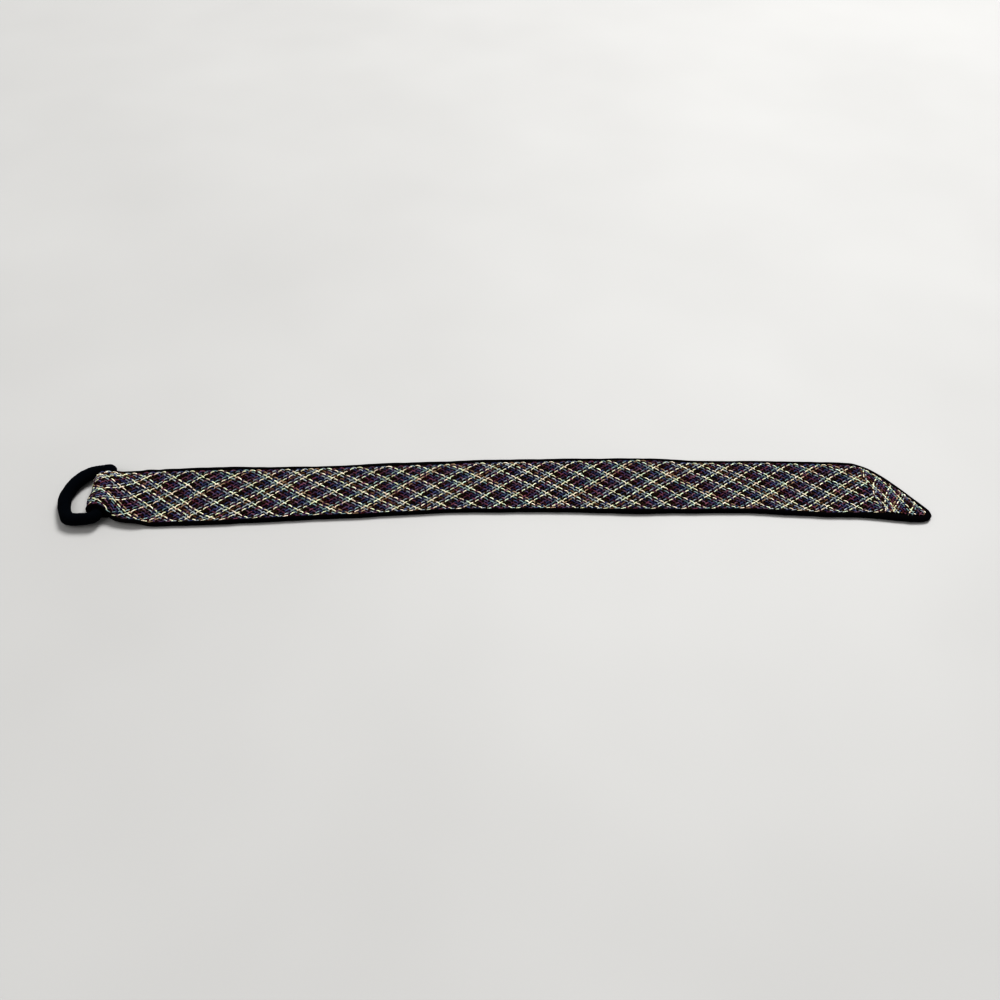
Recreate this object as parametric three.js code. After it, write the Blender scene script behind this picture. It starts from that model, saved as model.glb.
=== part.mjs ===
import * as THREE from 'three';

// A cinch belt lying face up: a broad flat braid set in a black strap with rolled edges, one end
// gathered round the bar of a fabric-covered D ring, the other cut to a slanted point.
// Millimetres, +X from the ring to the point, +Z up, z = 0 on the surface that it lies on.

// Driving sizes
const halfLength = 534.65;
const strapWidth = 92;
const strapThickness = 6;
const foldThickness = 4.2;
const baseThickness = 1.5;
const foldBaseThickness = 1.2;
const seamGap = 0.3;

// The D ring
const tubeRadius = 7.1;
const tubeSides = 12;
const ringReach = 44.8;
const barHalf = 34.4;
const cornerRadius = 6;
const cornerSteps = 4;
const limbSteps = 34;
const barSteps = 6;

// Where the ring's bar lies, and how far the strap is gathered in round it
const barZ = foldThickness + seamGap + tubeRadius;
const ringTilt = Math.asin((barZ - tubeRadius) / ringReach);
const barX = -halfLength + tubeRadius + ringReach * Math.cos(ringTilt);
const barY = -10.7;
const gatheredHalfWidth = 30.5;

// The fold, measured along x from the bar
const tailLength = 41;
const tailHalfWidth = 36;
const gatherEnd = 9;
const gatherOut = 66;
const slopeEnd = 38;
const restOnTail = 43;
const landed = 62;
const tailRows = [tailLength, 34, 24, gatherEnd, 6];
const upperRows = [4, 8, gatherEnd, 17, 22, 27, 32, 36, slopeEnd, restOnTail, 50, 55, 60];

// The turn round the bar, and the gathers raised on it, which fade out along the slope
const turnSteps = 12;
const loopSlack = 2;
const gatherLift = 1.6;
const gatherCount = 2;
const gatherRise = { start: 0.15, end: 0.65 };
const gatherFade = 10;

// Section of the rolled edge: inset from the outline, and height as a share of the thickness
const rolledEdge = [
  { inset: 2.6, height: 0 },
  { inset: 0.9, height: 0.13 },
  { inset: 0, height: 0.5 },
  { inset: 0.9, height: 0.87 },
  { inset: 2.6, height: 1 },
  { inset: 3.7, height: 0.93 },
];
const channelInset = 3.7;
const panelInset = channelInset + seamGap;
const panelShoulder = 6;
const panelSideHeight = 0.9;
const acrossSteps = 8;

// Past the channel the backing is solid right through, and its edges close in at the point
const solidHeight = 0.97;
const solidFootSpread = 0.6;
const mostOfHalfWidth = 0.85;

// Curved side of the ring: reach from the bar, and distance along it
const ringCurve = [
  { reach: 6, across: 40.4 },
  { reach: 12.5, across: 39.9 },
  { reach: 21.6, across: 36.9 },
  { reach: 33.1, across: 27.3 },
  { reach: 41.7, across: 12 },
  { reach: 44.8, across: -2.4 },
  { reach: 43.5, across: -15.3 },
  { reach: 39.4, across: -27.6 },
  { reach: 33.5, across: -36.2 },
  { reach: 24.4, across: -40.2 },
  { reach: 6, across: -40.4 },
];

// Middle line of the lying strap, which bows gently across its length
const strapLine = [
  { x: -416.6, y: -6.4 },
  { x: -376.6, y: -4.7 },
  { x: -326.6, y: -2.7 },
  { x: -276.6, y: -1.1 },
  { x: -196.6, y: 2.0 },
  { x: -126.6, y: 5.6 },
  { x: -56.6, y: 9.0 },
  { x: 13.4, y: 11.2 },
  { x: 73.4, y: 12.2 },
  { x: 133.4, y: 11.7 },
  { x: 213.4, y: 10.2 },
  { x: 293.4, y: 9.2 },
  { x: 363.4, y: 7.8 },
  { x: 423.4, y: 5.6 },
];

// Outline of the slanted point, one row for each line drawn across it
const tipRows = [
  { farX: 448.6, farY: 50.2, nearX: 450.6, nearY: -42.7 },
  { farX: 457.6, farY: 49.3, nearX: 463.6, nearY: -44.2 },
  { farX: 464.6, farY: 46.9, nearX: 477.2, nearY: -45.7 },
  { farX: 476.6, farY: 39.8, nearX: 485.6, nearY: -46.7 },
  { farX: 488.6, farY: 28.6, nearX: 494.6, nearY: -47.7 },
  { farX: 499.6, farY: 15.2, nearX: 503.6, nearY: -48.7 },
  { farX: 510.6, farY: -0.2, nearX: 511.6, nearY: -49.5 },
  { farX: 519.2, farY: -13.0, nearX: 518.2, nearY: -49.9 },
  { farX: 526.2, farY: -23.8, nearX: 523.2, nearY: -49.7 },
  { farX: 531.4, farY: -31.9, nearX: 527.2, nearY: -48.4 },
  { farX: 533.9, farY: -36.5, nearX: 530.3, nearY: -46.8 },
  { farX: halfLength, farY: -39.4, nearX: 532.6, nearY: -45.2 },
];
const mitreRow = 2;
const channelEndRow = 9.3;
const panelEndRow = 9.05;

// How many stations each stretch of the lying strap has
const beforeMitreSteps = 3;
const tipPanelSteps = 10;
const tipChannelSteps = 14;
const pointSteps = 4;

const smooth = (t) => {
  const k = Math.min(Math.max(t, 0), 1);
  return k * k * (3 - 2 * k);
};
const mix = THREE.MathUtils.lerp;

// Triangles that fill a flat outline, wound the way the outline runs
function fillOutline(outline) {
  const turn = (a, b, c) => Math.sign(THREE.ShapeUtils.area([outline[a], outline[b], outline[c]]));
  const wanted = Math.sign(THREE.ShapeUtils.area(outline));
  return THREE.ShapeUtils.triangulateShape(outline, []).map(([a, b, c]) => (
    turn(a, b, c) === wanted ? [a, b, c] : [a, c, b]
  ));
}

// A closed body through rings of points, capped at both ends by the outlines given
function loft(rings, firstCap, lastCap) {
  const count = rings[0].length;
  const positions = [];
  const indices = [];
  for (const ring of rings) {
    for (const p of ring) {
      positions.push(p.x, p.y, p.z);
    }
  }
  for (let i = 0; i + 1 < rings.length; i++) {
    for (let j = 0; j < count; j++) {
      const a = i * count + j;
      const b = i * count + ((j + 1) % count);
      indices.push(a, a + count, b, b, a + count, b + count);
    }
  }
  const last = (rings.length - 1) * count;
  for (const [a, b, c] of fillOutline(firstCap)) {
    indices.push(a, b, c);
  }
  for (const [a, b, c] of fillOutline(lastCap)) {
    indices.push(last + a, last + c, last + b);
  }
  const geometry = new THREE.BufferGeometry();
  geometry.setAttribute('position', new THREE.Float32BufferAttribute(positions, 3));
  geometry.setIndex(indices);
  geometry.computeVertexNormals();
  return geometry;
}

// A hoop of round section along a closed line that lies in the local x, y plane
function hoop(line, radius, sides) {
  const positions = [];
  const indices = [];
  const count = line.length;
  for (let i = 0; i < count; i++) {
    const before = line[(i + count - 1) % count];
    const after = line[(i + 1) % count];
    const along = after.clone().sub(before).normalize();
    const outward = new THREE.Vector2(along.y, -along.x);
    for (let j = 0; j < sides; j++) {
      const turn = (2 * Math.PI * j) / sides;
      const reach = radius * Math.cos(turn);
      const p = line[i].clone().addScaledVector(outward, reach);
      positions.push(p.x, p.y, radius * Math.sin(turn));
      const a = i * sides + j;
      const b = i * sides + ((j + 1) % sides);
      const c = ((i + 1) % count) * sides + j;
      const d = ((i + 1) % count) * sides + ((j + 1) % sides);
      indices.push(a, c, b, b, c, d);
    }
  }
  const geometry = new THREE.BufferGeometry();
  geometry.setAttribute('position', new THREE.Float32BufferAttribute(positions, 3));
  geometry.setIndex(indices);
  geometry.computeVertexNormals();
  return geometry;
}

// Middle line of the ring: bar, corner, curved side, corner, with x towards the curve's crown
function ringLine() {
  const line = [];
  for (let i = 0; i < barSteps; i++) {
    line.push(new THREE.Vector2(0, mix(-barHalf, barHalf, i / barSteps)));
  }
  for (let i = 0; i < cornerSteps; i++) {
    const turn = (Math.PI / 2) * (i / cornerSteps);
    line.push(new THREE.Vector2(
      cornerRadius * (1 - Math.cos(turn)),
      barHalf + cornerRadius * Math.sin(turn),
    ));
  }
  const side = new THREE.SplineCurve(ringCurve.map((row) => new THREE.Vector2(row.reach, row.across)));
  line.push(...side.getPoints(limbSteps));
  for (let i = 1; i < cornerSteps; i++) {
    const turn = (Math.PI / 2) * (i / cornerSteps);
    line.push(new THREE.Vector2(
      cornerRadius * (1 - Math.sin(turn)),
      -barHalf - cornerRadius * Math.cos(turn),
    ));
  }
  return line;
}

// One line across the strap: its two edges on the inner face with the directions that lead in from
// them, the direction out of the inner face, and its make-up
function station(edges, up, makeUp) {
  return { ...edges, up, ...makeUp, full: false };
}

// Height of the inner face over the surface, past the bar, on the upper run of the fold
function upperRun(past) {
  const overBar = barZ + tubeRadius + seamGap;
  const overTail = foldThickness + seamGap;
  if (past < restOnTail) {
    return mix(overBar, overTail, smooth(past / slopeEnd));
  }
  return mix(overTail, 0, smooth((past - restOnTail) / (landed - restOnTail)));
}

// Stations of the fold: the returned tail, the turn round the bar, and the run down to the surface
function foldStations() {
  const stations = [];
  const add = (x, z, up, half, thickness, base, lift) => {
    const middle = mix(barY, strapLine[0].y, smooth((x - barX) / landed));
    const edges = {
      near: new THREE.Vector3(x, middle - half, z),
      far: new THREE.Vector3(x, middle + half, z),
      nearIn: new THREE.Vector3(0, 1, 0),
      farIn: new THREE.Vector3(0, -1, 0),
    };
    stations.push(station(edges, up, { thickness, base, lift }));
  };
  const down = new THREE.Vector3(0, 0, -1);
  for (const past of tailRows) {
    const spread = smooth((past - gatherEnd) / (tailLength - gatherEnd));
    const half = mix(gatheredHalfWidth, tailHalfWidth, spread);
    add(barX + past, foldThickness, down, half, foldThickness, foldBaseThickness, 0);
  }
  const turnRadius = tubeRadius + seamGap;
  for (let i = 0; i <= turnSteps; i++) {
    const turned = i / turnSteps;
    const up = new THREE.Vector3(-Math.sin(Math.PI * turned), 0, -Math.cos(Math.PI * turned));
    const x = barX + (turnRadius + loopSlack) * up.x;
    const z = barZ + turnRadius * up.z;
    const risen = (turned - gatherRise.start) / (gatherRise.end - gatherRise.start);
    const lift = gatherLift * smooth(risen);
    add(x, z, up, gatheredHalfWidth, foldThickness, foldBaseThickness, lift);
  }
  for (const past of upperRows) {
    const slope = upperRun(past + 0.5) - upperRun(past - 0.5);
    const up = new THREE.Vector3(-slope, 0, 1).normalize();
    const share = Math.max(past - gatherEnd, 0) / (gatherOut - gatherEnd);
    const spread = (share + smooth(share)) / 2;
    const half = mix(gatheredHalfWidth, strapWidth / 2, spread);
    const thickness = mix(foldThickness, strapThickness, spread);
    const base = mix(foldBaseThickness, baseThickness, spread);
    const faded = (past - gatherFade) / (slopeEnd - gatherFade);
    const lift = gatherLift * (1 - smooth(faded));
    add(barX + past, upperRun(past), up, half, thickness, base, lift);
  }
  return stations;
}

// Edges of the lying strap, as two curves that share their rows
function lyingEdges() {
  const middle = new THREE.SplineCurve(strapLine.map((row) => new THREE.Vector2(row.x, row.y)));
  const near = [];
  const far = [];
  strapLine.forEach((row, i) => {
    const along = middle.getTangent(i / (strapLine.length - 1));
    const across = new THREE.Vector2(-along.y, along.x).multiplyScalar(strapWidth / 2);
    near.push(new THREE.Vector2(row.x - across.x, row.y - across.y));
    far.push(new THREE.Vector2(row.x + across.x, row.y + across.y));
  });
  for (const row of tipRows) {
    near.push(new THREE.Vector2(row.nearX, row.nearY));
    far.push(new THREE.Vector2(row.farX, row.farY));
  }
  return { near: new THREE.SplineCurve(near), far: new THREE.SplineCurve(far), last: near.length - 1 };
}

// Stations of the lying strap from one row to another, counted along both tables
function lyingStations(firstRow, lastRow, steps, shift = 0) {
  const { near, far, last } = lyingEdges();
  const stations = [];
  const up = new THREE.Vector3(0, 0, 1);
  for (let i = 0; i <= steps; i++) {
    const at = mix(firstRow, lastRow, i / steps) / last;
    const n = near.getPoint(at);
    const f = far.getPoint(at);
    const nearAlong = near.getTangent(at);
    const farAlong = far.getTangent(at);
    const edges = {
      near: new THREE.Vector3(n.x + shift, n.y, 0),
      far: new THREE.Vector3(f.x + shift, f.y, 0),
      nearIn: new THREE.Vector3(-nearAlong.y, nearAlong.x, 0),
      farIn: new THREE.Vector3(farAlong.y, -farAlong.x, 0),
    };
    stations.push(station(edges, up, { thickness: strapThickness, base: baseThickness, lift: 0 }));
  }
  return stations;
}

// The one station where the strap is divided at a row, drawn back a little to leave a seam
function cutStation(row, shift) {
  return lyingStations(row, row, 1, shift).slice(0, 1);
}

// A point of a section: inset from one edge, at a height over the inner face
function edgePoint(here, side, inset, height) {
  return here[side].clone()
    .addScaledVector(here[side + 'In'], inset)
    .addScaledVector(here.up, height);
}

// Points between the two edges, raised by the gathers of the fold
function acrossPoints(here, inset, height, reversed) {
  const points = [];
  const a = edgePoint(here, 'near', inset, height);
  const b = edgePoint(here, 'far', inset, height);
  for (let i = 1; i < acrossSteps; i++) {
    const share = reversed ? 1 - i / acrossSteps : i / acrossSteps;
    const wave = 0.5 - 0.5 * Math.cos(2 * Math.PI * gatherCount * share);
    points.push(a.clone().lerp(b, share).addScaledVector(here.up, here.lift * wave));
  }
  return points;
}

// Section of the backing: up over the near rolled edge, across the channel, and down the far one
function backingSection(here) {
  const room = here.near.distanceTo(here.far) / 2;
  const wallFoot = channelInset + (here.full ? solidFootSpread : 0);
  const squeeze = Math.min(1, (mostOfHalfWidth * room) / wallFoot);
  const floor = here.full ? solidHeight * here.thickness : here.base;
  const rolled = (side) => rolledEdge.map(({ inset, height }) => (
    edgePoint(here, side, inset * squeeze, height * here.thickness)
  ));
  return [
    ...rolled('near'),
    edgePoint(here, 'near', wallFoot * squeeze, floor),
    ...acrossPoints(here, wallFoot * squeeze, floor, false),
    edgePoint(here, 'far', wallFoot * squeeze, floor),
    ...rolled('far').reverse(),
    ...acrossPoints(here, rolledEdge[0].inset * squeeze, 0, true),
  ];
}

// Section of the braid: near side, shoulder, across the top, far side, and back across underneath
function panelSection(here) {
  const bottom = here.base + seamGap;
  const side = panelSideHeight * here.thickness;
  return [
    edgePoint(here, 'near', panelInset, bottom),
    edgePoint(here, 'near', panelInset, side),
    edgePoint(here, 'near', panelShoulder, here.thickness),
    ...acrossPoints(here, panelShoulder, here.thickness, false),
    edgePoint(here, 'far', panelShoulder, here.thickness),
    edgePoint(here, 'far', panelInset, side),
    edgePoint(here, 'far', panelInset, bottom),
    ...acrossPoints(here, panelInset, bottom, true),
  ];
}

// A section flattened to distances across the strap and over its inner face, for its end cap
function flatten(section, here) {
  const across = here.far.clone().sub(here.near).normalize();
  return section.map((p) => {
    const from = p.clone().sub(here.near);
    return new THREE.Vector2(from.dot(across), from.dot(here.up));
  });
}

function loftStations(stations, makeSection) {
  const sections = stations.map(makeSection);
  const last = stations.length - 1;
  return loft(sections, flatten(sections[0], stations[0]), flatten(sections[last], stations[last]));
}

const bodyRows = strapLine.length;
const mitre = bodyRows + mitreRow;
const channelEnd = bodyRows + channelEndRow;
const panelEnd = bodyRows + panelEndRow;
const pointRow = bodyRows + tipRows.length - 1;

// The gathered loop round the bar, from the hidden tail to where the strap lies flat
function makeLoop(makeSection) {
  const stations = [
    ...foldStations(),
    ...cutStation(0, -seamGap / 2),
  ];
  return loftStations(stations, makeSection);
}

function makeBacking() {
  const point = lyingStations(channelEnd + 0.1, pointRow, pointSteps);
  for (const here of point) {
    here.full = true;
  }
  const stations = [
    ...cutStation(0, seamGap / 2),
    ...lyingStations(1, bodyRows, bodyRows - 1),
    ...lyingStations(bodyRows + 0.5, channelEnd, tipChannelSteps),
    ...point,
  ];
  return loftStations(stations, backingSection);
}

function makeBraidPanel() {
  const stations = [
    ...cutStation(0, seamGap / 2),
    ...lyingStations(1, bodyRows, bodyRows - 1),
    ...lyingStations(bodyRows + 0.5, mitre - 0.5, beforeMitreSteps),
    ...cutStation(mitre, -seamGap / 2),
  ];
  return loftStations(stations, panelSection);
}

function makeTipPanel() {
  const stations = [
    ...cutStation(mitre, seamGap / 2),
    ...lyingStations(mitre + 0.5, panelEnd, tipPanelSteps),
  ];
  return loftStations(stations, panelSection);
}

const ringFabric = new THREE.MeshStandardMaterial({ color: 0x0c0d14, roughness: 0.95, metalness: 0 });
const strapFabric = new THREE.MeshStandardMaterial({ color: 0x09090d, roughness: 0.9, metalness: 0 });
const braidYarn = new THREE.MeshStandardMaterial({ color: 0x5c4a63, roughness: 0.85, metalness: 0 });
const tipYarn = new THREE.MeshStandardMaterial({ color: 0x66556a, roughness: 0.85, metalness: 0 });

const belt = new THREE.Group();

const ring = new THREE.Mesh(hoop(ringLine(), tubeRadius, tubeSides), ringFabric);
ring.name = 'ring';
ring.position.set(barX, barY, barZ);
ring.rotation.set(0, Math.PI - ringTilt, 0);
belt.add(ring);

const strapPieces = [
  ['loop_backing', makeLoop(backingSection), strapFabric],
  ['loop_braid', makeLoop(panelSection), braidYarn],
  ['backing', makeBacking(), strapFabric],
  ['braid_panel', makeBraidPanel(), braidYarn],
  ['tip_panel', makeTipPanel(), tipYarn],
];
for (const [name, geometry, material] of strapPieces) {
  const piece = new THREE.Mesh(geometry, material);
  piece.name = name;
  belt.add(piece);
}

export default belt;
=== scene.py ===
import math

import bpy
import numpy as np
from mathutils import Matrix, Vector


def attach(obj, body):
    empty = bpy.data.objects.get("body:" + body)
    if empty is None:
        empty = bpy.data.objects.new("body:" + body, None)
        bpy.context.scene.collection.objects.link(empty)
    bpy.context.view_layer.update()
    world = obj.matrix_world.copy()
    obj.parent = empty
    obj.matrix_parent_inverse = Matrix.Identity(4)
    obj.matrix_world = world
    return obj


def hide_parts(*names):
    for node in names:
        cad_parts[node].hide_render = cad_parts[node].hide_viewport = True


# A cinch belt lying face up. Lengths are in millimetres until a mesh is made, in the frame of the
# construction: +X from the ring to the point, +Z up, z = 0 on the floor.
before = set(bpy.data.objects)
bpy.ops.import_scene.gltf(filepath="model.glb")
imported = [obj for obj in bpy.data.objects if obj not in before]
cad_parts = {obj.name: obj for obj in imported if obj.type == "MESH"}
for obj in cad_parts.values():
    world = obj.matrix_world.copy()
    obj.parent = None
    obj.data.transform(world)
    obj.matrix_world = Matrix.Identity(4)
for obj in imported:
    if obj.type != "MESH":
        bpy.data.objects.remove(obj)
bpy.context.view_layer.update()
MM = 0.001

# Room between the floor and the lowest points
FLOOR_ROOM = 0.02

# Driving sizes of the strap and the ring, as in the construction
HALF_LENGTH = 534.65
STRAP_HALF = 46.0
STRAP_THICKNESS = 6.0
BASE_THICKNESS = 1.5
FOLD_THICKNESS = 4.2
FOLD_BASE = 1.2
SEAM_GAP = 0.3
TUBE_RADIUS = 7.1
RING_REACH = 44.8
BAR_HALF = 34.4
CORNER_RADIUS = 6.0
BAR_Z = FOLD_THICKNESS + SEAM_GAP + TUBE_RADIUS
RING_TILT = math.asin((BAR_Z - TUBE_RADIUS) / RING_REACH)
BAR_X = -HALF_LENGTH + TUBE_RADIUS + RING_REACH * math.cos(RING_TILT)
BAR_Y = -10.7

# The fold: its hidden tail, and places of its upper run by their distance past the bar
GATHERED_HALF = 30.5
TAIL_LENGTH = 41.0
TAIL_HALF = 36.0
GATHER_END = 9.0
GATHER_OUT = 66.0
SLOPE_END = 38.0
REST_ON_TAIL = 43.0
LANDED = 62.0
FOLD_STEP = 1.0
TURN_ROWS = 36

# Slack of the fold's turn, and how far its rows swing there, in radians
LOOP_SLACK = 3.0
LOOP_SWING = 0.033

# Gathers of the fold: height, number, start and run of their rise in the turn, start of their fade
GATHER_LIFT = 1.6
GATHER_COUNT = 2
GATHER_RISE = (0.15, 0.5)
GATHER_FADE = 10.0

# Start and run, past the bar, of the turn to the strap's heading
HEADING_RUN = (20, 45)

# Sag of the near edge: start and run past the bar, share of the height, and where across the half-width
SAG_RUN = (3, 12)
NEAR_SAG = 0.8
SAG_START = 0.5
SAG_MOST = 1.1

# Width of the fold's edges outside the braid: at the bar, and for the near and far edge past a run
FOLD_MARGIN = 3.0
LANDED_MARGINS = ((4.4, 50), (5.0, 60))

# Near and far edge of the fold's upper run: distance past the bar, y
FOLD_NEAR = [
    (0, -41.2), (6, -42.2), (11, -45), (17, -49.2),
    (24, -52.2), (35, -54.4), (50, -55.8), (66.4, -56.6),
]
FOLD_FAR = [
    (0, 19.8), (9, 20.5), (15, 21.8), (21, 25.6), (30, 30.5),
    (40, 32.8), (50, 35.4), (60, 38), (66.4, 39),
]

# Curved side of the ring: reach from the bar, distance along it
RING_CURVE = [
    (6, 40.4), (12.5, 39.9), (21.6, 36.9), (33.1, 27.3), (41.7, 12), (44.8, -2.4),
    (43.5, -15.3), (39.4, -27.6), (33.5, -36.2), (24.4, -40.2), (6, -40.4),
]

# How far the padded cover stands out past an even tube: direction from the ring's middle in degrees, mm
RING_MIDDLE = 20.0
RING_FULLNESS = [
    (-180, 0), (-130, 0), (-110, 0.8), (-86, 1.8), (-70, 2.6), (-56, 0.7), (-33, 1.6), (-5, 2.3),
    (29, 3), (64, 4.2), (87, 2.4), (101, 0.4), (109, 0.5), (115, 2.3), (121, 0.6), (126, 0), (180, 0),
]

# Middle line of the lying strap, and its course past the mitre: x, y
STRAP_LINE = [
    (-416.6, -6.4), (-376.6, -4.7), (-326.6, -2.7), (-276.6, -1.1), (-196.6, 2),
    (-126.6, 5.6), (-56.6, 9), (13.4, 11.2), (73.4, 12.2), (133.4, 11.7),
    (213.4, 10.2), (293.4, 9.2), (363.4, 7.8), (423.4, 5.6),
]
LINE_PAST_MITRE = [(449.6, 3.8), (490, 1.4)]
FLAT_STEP = 0.05

# Lengths along the strap are measured at this share of its thickness
LENGTH_LEVEL = 0.6

# How far the soft edges sway out from an even width: x, near edge, far edge
EDGE_SWAY = [
    (-416.6, 4.2, -0.6), (-375, 4.6, 0.2), (-330, 4, -0.2), (-290, 2.8, -1.8), (-225, 0.6, -2.9),
    (-175, -0.1, -1.9), (-125, -1.6, -0.8), (-75, -2.7, -1.3), (-25, -1.9, -0.3), (25, -1.1, -0.6),
    (75, -0.2, 0.1), (125, 1.2, 0.7), (175, 1.8, 1.8), (215, 0, 1.4), (260, -0.8, -1.2),
    (310, -1, -0.8), (355, 1.1, -0.5), (400, 2.5, 0.3), (430, 2.3, 1), (452, 1.3, 0.8), (470, 1.3, 0.4),
    (488, 1.9, 0.3), (503, 2.3, 0.3), (514, 1.4, 0.5), (525, 0.8, 0.8), (HALF_LENGTH, 0.4, 0.6),
]

# Outline of the slanted point: far x, far y, near x, near y
TIP_ROWS = np.array([
    (448.6, 50.2, 450.6, -42.7), (457.6, 49.3, 463.6, -44.2), (464.6, 46.9, 477.2, -45.7),
    (476.6, 39.8, 485.6, -46.7), (488.6, 28.6, 494.6, -47.7), (499.6, 15.2, 503.6, -48.7),
    (510.6, -0.2, 511.6, -49.5), (519.2, -13, 518.2, -49.9), (526.2, -23.8, 523.2, -49.7),
    (531.4, -31.9, 527.2, -48.4), (533.9, -36.5, 530.3, -46.8), (HALF_LENGTH, -39.4, 532.6, -45.2),
])

# Inner line of the broad hem along the near side of the point: x, y
HEM_LINE = [
    (430, -37.1), (443, -36.2), (457, -36.3), (467, -37), (476, -37.2), (486, -38.2), (495, -39.4),
    (503.5, -41.4), (513, -42.4), (521, -42.4), (528, -41.8), (HALF_LENGTH, -40),
]
TIP_FAR, TIP_NEAR = TIP_ROWS[:, :2], TIP_ROWS[:, 2:]
MITRE_FAR, MITRE_NEAR = TIP_FAR[2], TIP_NEAR[2]

# The braid: yarns in a repeat, and where each count of them falls: x, count, middle and half-width
YARN_COUNT = 33
BRAID_ROWS = [
    (-397, -49.3, -2.7, 43.1), (-371, -45.4, -2.7, 43.1), (-293, -35.3, -2.2, 41.5),
    (-239, -27.8, -1.2, 40.3), (-161.5, -17.8, -1, 40.1), (-83.5, -7.1, -0.5, 39.2),
    (-29.5, 0.1, -0.2, 39.9), (43, 10, -0.5, 40.5), (115, 19.95, 0, 41.9),
    (187.5, 29.7, 1.8, 42.7), (248, 37.85, 0.3, 40.5), (318, 47.5, 1.3, 40.3),
    (400.5, 59, -0.5, 42.2), (432, 63.3, 0.5, 42), (462, 67.3, 1, 40.7),
]
YARN_PITCH = 7.4
COUNTED_PLACES = 4000

# How near yarns come to a plain zigzag, how far they wander from it, and their longest and shortest waves
TURN_SHARPNESS = 0.985
YARN_WANDER = 0.34
WANDER_WAVES = (90, 11)

# Make of a yarn: middle height, rise and fall at crossings, half-width, half-height, hairs for each row
YARN = {"level": 3.9, "crimp": 0.64, "wide": 0.95, "high": 0.6, "hairs": 0.22}
PALE_YARN = {**YARN, "wide": 0.84}
GROUND_YARN = {"level": 3.4, "crimp": 0.25, "wide": 1.3, "high": 0.7, "hairs": 0}
CRIMP_BIAS = 0.12

# How much a yarn swells and thins, in which waves, and the directions of its section's points
YARN_SWELL = 0.07
SWELL_WAVES = (31, 4.3)
SECTION = np.radians([0, 42, 90, 138, 180, 270])

# Steps of the yarns' rows in counts, fewest rows of a stretch, and how far stretches pass the mitre
YARN_STEP = 0.125
GROUND_STEP = 0.25
FEWEST_ROWS = 4
MITRE_OVERLAP = 1.5

# Hairs: place of the bend and the tip, outward and aside, and the width left at the bend
HAIR_BEND = (0.55, 0.12)
HAIR_TIP = (0.9, 0.4)
BEND_WIDTH = 0.7

# Hairs in a yarn: width, reach, depth of the root, bare sides, and lean
HAIR_WIDTH = 0.06
HAIR_REACH = (0.5, 1.3)
HAIR_ROOT = 0.9
HAIR_SIDES = 0.2
HAIR_STRAY = 0.4
HAIR_LEAN = 0.5

# Length of a ply's turn, and how much further on the texture of each next yarn starts
PLY_LENGTH = 2.6
TEXTURE_STEP = 61.7

# Colour of each yarn in one repeat of the braid, charted
YARN_ORDER = """
    cream umber maroon indigo slate
    cream umber plum navy slate
    cream umber maroon violet teal
    cream umber plum navy teal
    cream tan wine violet plum slate
    cream umber navy slate
    cream rust slate
""".split()

# The flap at the point, a narrower stretch of braid that runs nearly across the strap
FLAP_ORDER = """
    cream umber plum slate
    cream rust maroon navy teal
    cream umber wine navy slate
    cream tan maroon indigo teal
    cream umber plum indigo slate
    cream umber wine slate
    cream rust maroon violet teal
""".split()
FLAP_ANGLE = math.radians(82)
FLAP_HALF = 30.5
FLAP_REACH = 75
FLAP_MIDDLE = np.array([500.0, -1.8])
FLAP_RISE = 0.35
FLAP_START = -0.25
FLAP_WAVES = (60, 9)

# Towards the mitre the flap's yarns are pulled to it, and turns on the other side reach out further
FLAP_PULL_START = 0.1
MITRE_ROOM = 0.6
FLAP_STRETCH = 3.5
STRETCH_RUN = (0.7, 0.3)

# The flap's yarns bend to keep this far inside the slanted edge, and end short of the near hem. A cream
# one is also kept where its straight course would pass the edge by a little
FLAP_INSET = 3.6
FLAP_BEND = 3.0
CREAM_PAST_EDGE = 5
HEM_ROOM = 0.4
SLANT_POINTS = 120

# Steps of the backing's rows between table rows, along the strap and the point, and rows of the end
STRAP_ROW_STEP = 0.045
POINT_ROW_STEP = 0.16
END_ROWS = 44

# Rolled edges: width, inset of the roll's middle, its reach outward and inward, its foot in the channel
ROLL_WIDTH = 5.3
ROLL_INSET = 3.1
ROLL_OUT = 3.1
ROLL_IN = 2.2
ROLL_FOOT = 5.5
ROLL_TURNS = np.radians(np.linspace(-90, -350, 15))
CHANNEL_SHARES = np.linspace(0.02, 0.98, 14)

# Least and most that a roll is squeezed or spread by its margin, and its most in a narrow row
ROLL_SQUEEZE = (0.55, 2.2)
WIDEST_ROLL = 0.85

# Puffs and wobbles of the rolled edges, with their longest and shortest waves
EDGE_PUFF = 0.04
PUFF_WAVES = (90, 19)
HIGHEST_PUFF = 1.03
EDGE_WOBBLE = 0.25
WOBBLE_WAVES = (170, 41)

# The hem takes over the near edge from this x, over a run, where the far edge has one width
HEM_START = 430
HEM_RUN = 25
FAR_HEM = 4.8

# End of the point: length and limit of its rounding, least thickness, middle height, closing of the channel
END_ROUND = 4.0
END_SHARPEST = 0.97
END_THINNING = 0.35
END_MIDDLE = 2.6
CLOSING_HALF = 14
CLOSING_RUN = 8

# Points along the ring's bar, a corner and the curved side, and around its tube
BAR_POINTS = 36
CORNER_POINTS = 8
SIDE_POINTS = 150
RING_SIDES = 36

# Cover of the ring: room for its puckers, depth of the seam, place and width of the seam as a cosine
COVER_ROOM = 0.25
SEAM_DEPTH = 0.35
SEAM_PLACE = 0.98
SEAM_WIDTH = 0.03

# Puckers of the ring's cover: height, waves along it, waves round it, phase, sway of the phase
RING_PUCKERS = [(0.1, 57, 2, 0, 0.8), (0.14, 9, -3, 0, 0), (0.1, 21, 1, 1.3, 0)]

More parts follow.
